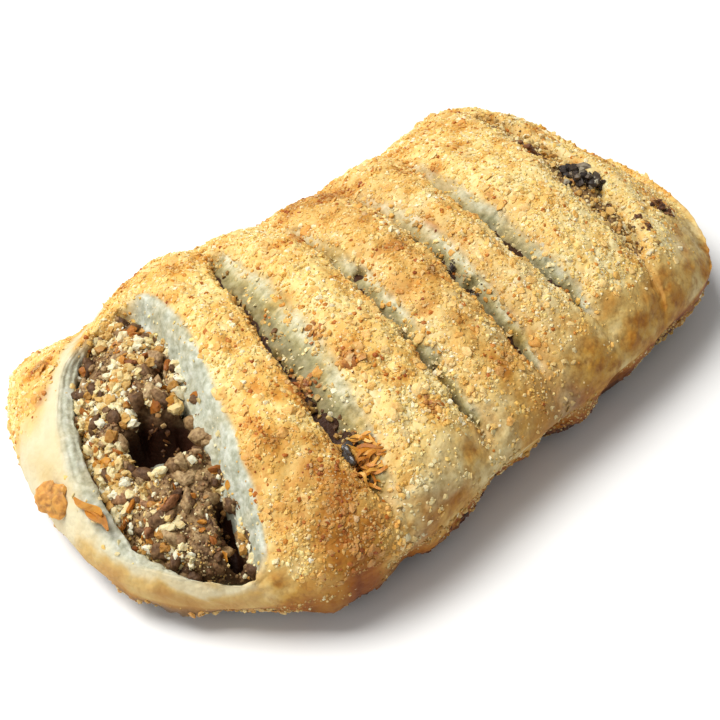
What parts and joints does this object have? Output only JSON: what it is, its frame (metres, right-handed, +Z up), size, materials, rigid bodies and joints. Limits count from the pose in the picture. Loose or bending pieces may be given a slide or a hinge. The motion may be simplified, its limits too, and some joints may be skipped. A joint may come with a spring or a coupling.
{
  "type": "meat pasty",
  "caption": "Baked puff-pastry parcel with a slashed, crumbed lid, open at one end to show its minced meat filling",
  "frame": {"origin": "middle of the pasty's box, on the surface that it rests on", "axes": "+X along the parcel, from the open mouth to the closed far end; +Y across it, from the front wall to the back; +Z up"},
  "size_m": [0.15, 0.0886, 0.0354],
  "materials": {
    "pastry": "baked puff pastry, pale gold with toasted crumbs, dull with a faint butter sheen",
    "filling": "cooked mince with crumbs, grey-brown and a little moist"
  },
  "bodies": {
    "root": {"crust": "pastry", "filling": "filling"}
  },
  "joints": []
}
